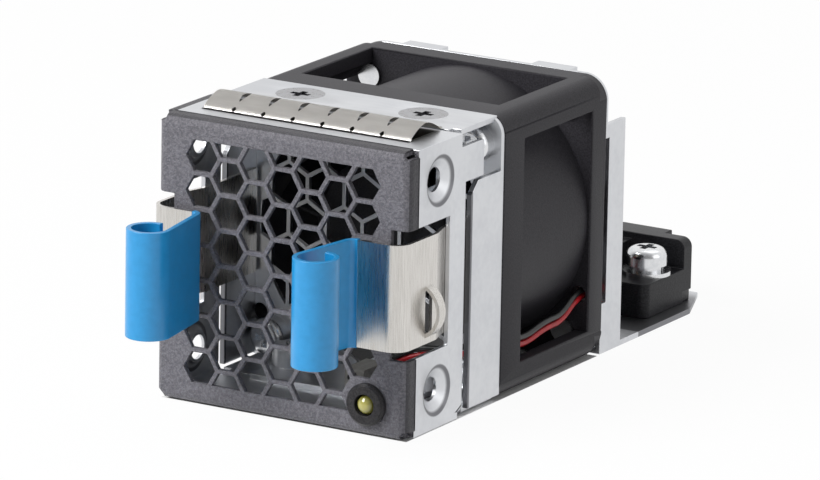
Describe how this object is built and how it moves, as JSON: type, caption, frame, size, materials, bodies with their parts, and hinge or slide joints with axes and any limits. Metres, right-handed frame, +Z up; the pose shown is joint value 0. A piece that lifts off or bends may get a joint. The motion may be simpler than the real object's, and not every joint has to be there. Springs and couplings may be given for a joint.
{
  "type": "server fan tray",
  "caption": "Plug-in fan tray: a perforated front box and an axial fan in folded metal brackets, with spring latches, pull grips, a lamp and a rear plug.",
  "frame": {"origin": "under the middle of the tray, on the surface that it stands on", "axes": "+X to the right seen from the front, +Y from the front grille towards the rear plug, +Z up"},
  "size_m": [0.0444, 0.103, 0.0422],
  "materials": {
    "front_sheet": "dark grey textured powder coat over zinc plate",
    "zinc_sheet": "zinc plated sheet, satin",
    "stainless_leaf": "brushed stainless spring steel",
    "gasket": "formed spring strip, satin",
    "screw": "bright zinc plated",
    "fan_plastic": "black glass-filled plastic",
    "blade_plastic": "black plastic",
    "brass": "turned",
    "bearing_steel": "ground",
    "core_steel": "laminated",
    "copper": "enamelled copper wire",
    "board": "circuit board",
    "chip": "moulded",
    "magnet": "bonded ferrite",
    "connector_plastic": "black moulded",
    "contact": "gold plated",
    "grip": "blue dipped coat",
    "lamp_ring": "black moulded",
    "lamp_lens": "yellow-green tinted lens",
    "lamp_plug": "natural white moulded",
    "wire_red": "wire sleeve",
    "wire_black": "wire sleeve",
    "wire_blue": "wire sleeve",
    "wire_yellow": "wire sleeve"
  },
  "bodies": {
    "tray": {"front_shell": "front_sheet", "emi_gasket": "gasket", "fan_bracket": "zinc_sheet", "top_bracket_screws": "screw", "bottom_bracket_screws": "screw", "fan_screws": "screw", "fan_screw_washers": "screw", "fan_housing": "fan_plastic", "bearing_tube": "brass", "front_bearing": "bearing_steel", "rear_bearing": "bearing_steel", "stator_core": "core_steel", "stator_windings": "copper", "motor_board": "board", "board_chips": "chip", "rear_bracket": "zinc_sheet", "rear_screws": "screw", "connector_body": "connector_plastic", "connector_contacts": "contact", "connector_screws": "screw", "connector_washers": "screw", "connector_spring_washers": "screw", "lamp_ring": "lamp_ring", "lamp_lens": "lamp_lens", "lamp_plug": "lamp_plug", "lamp_leads": "wire_black", "lamp_wire_red": "wire_red", "lamp_wire_black": "wire_black", "fan_wire_blue": "wire_blue", "fan_wire_yellow": "wire_yellow", "fan_wire_black": "wire_black", "fan_wire_red": "wire_red"},
    "rotor": {"impeller": "blade_plastic", "rotor_cup": "core_steel", "ring_magnet": "magnet", "rotor_shaft": "bearing_steel", "retaining_clip": "bearing_steel"},
    "right_latch": {"right_latch_leaf": "stainless_leaf", "right_grip_coat": "grip"},
    "left_latch": {"left_latch_leaf": "stainless_leaf", "left_grip_coat": "grip"}
  },
  "joints": [
    {"name": "rotor_spin", "type": "hinge", "parent": "tray", "child": "rotor", "pos_m": [0, -0.00927, 0.02], "axis": [0, 1, 0], "continuous": true},
    {"name": "right_latch_squeeze", "type": "hinge", "parent": "tray", "child": "right_latch", "pos_m": [0.0191, -0.01226, 0.0201], "axis": [0, 0, -1], "range_deg": [0, 5], "stiffness_Nm_per_rad": 3.6},
    {"name": "left_latch_squeeze", "type": "hinge", "parent": "tray", "child": "left_latch", "pos_m": [-0.0191, -0.01226, 0.0201], "axis": [0, 0, 1], "range_deg": [0, 5], "stiffness_Nm_per_rad": 3.6}
  ]
}
